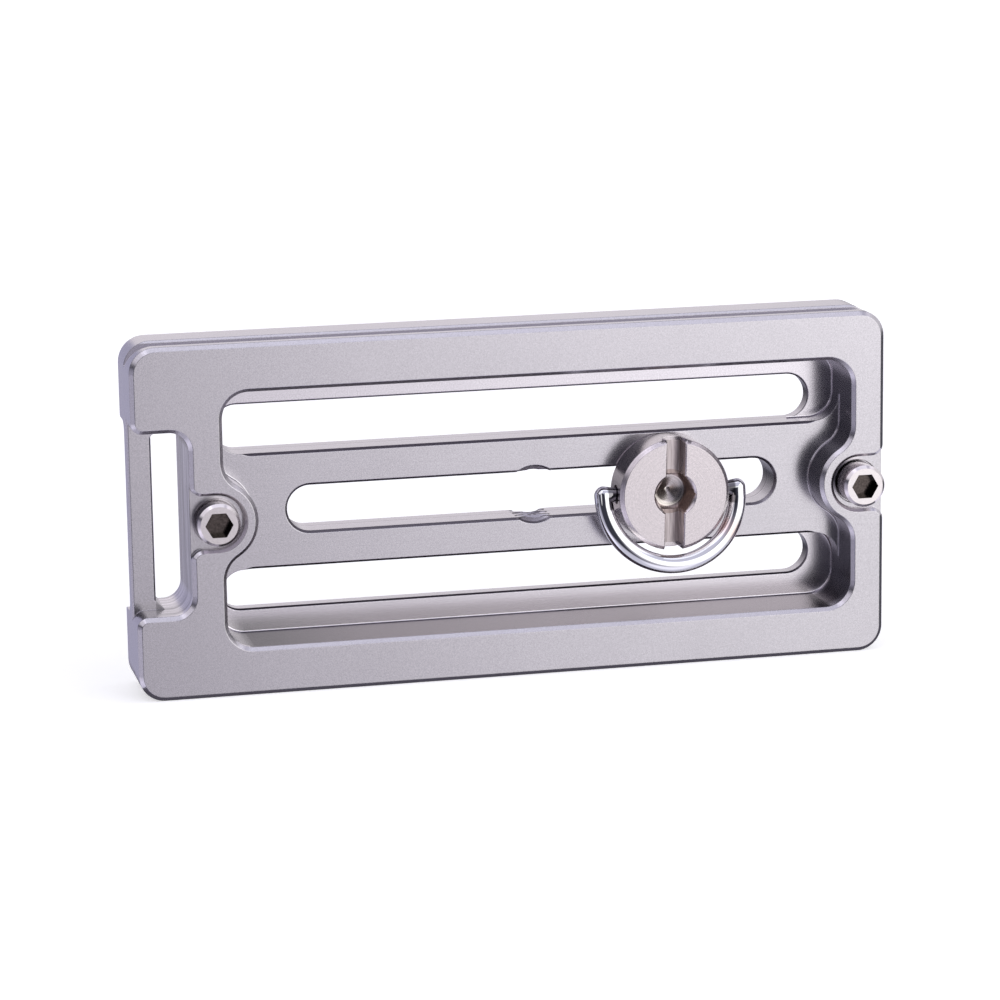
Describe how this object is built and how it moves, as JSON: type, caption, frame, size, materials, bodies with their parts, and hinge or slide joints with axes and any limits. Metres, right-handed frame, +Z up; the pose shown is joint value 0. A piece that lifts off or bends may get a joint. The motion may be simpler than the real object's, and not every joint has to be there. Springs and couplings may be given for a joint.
{
  "type": "tripod quick release plate",
  "caption": "Dovetail camera plate stood on its long edge, with a pocketed, slotted underside, a sliding camera screw with a folding D-ring, a stop screw at each end and a strap slot.",
  "frame": {"origin": "middle of the box around the whole object, on the surface that the plate's lower long edge stands on", "axes": "+X along the plate's length, away from the strap end; +Y through its thickness towards the camera side; +Z up, across its width"},
  "size_m": [0.0826, 0.0162, 0.038],
  "materials": {
    "plate": "fine bead-blasted, clear grey anodised",
    "camera_screw": "turned stainless steel with faint lathe rings",
    "ring": "polished bent wire",
    "stop_screws": "bright stainless steel"
  },
  "bodies": {
    "plate": {"plate_body": "plate", "stop_screws": "stop_screws"},
    "screw": {"camera_screw": "camera_screw"},
    "ring": {"d_ring": "ring"}
  },
  "joints": [
    {"name": "screw_slide", "type": "slide", "parent": "plate", "child": "screw", "axis": [1, 0, 0], "range_m": [-0.0369, 0.0076]},
    {"name": "ring_fold", "type": "hinge", "parent": "screw", "child": "ring", "pos_m": [0.01765, -0.0037, 0.01888], "axis": [-1, 0, 0], "range_deg": [-23.5, 173.5]}
  ]
}
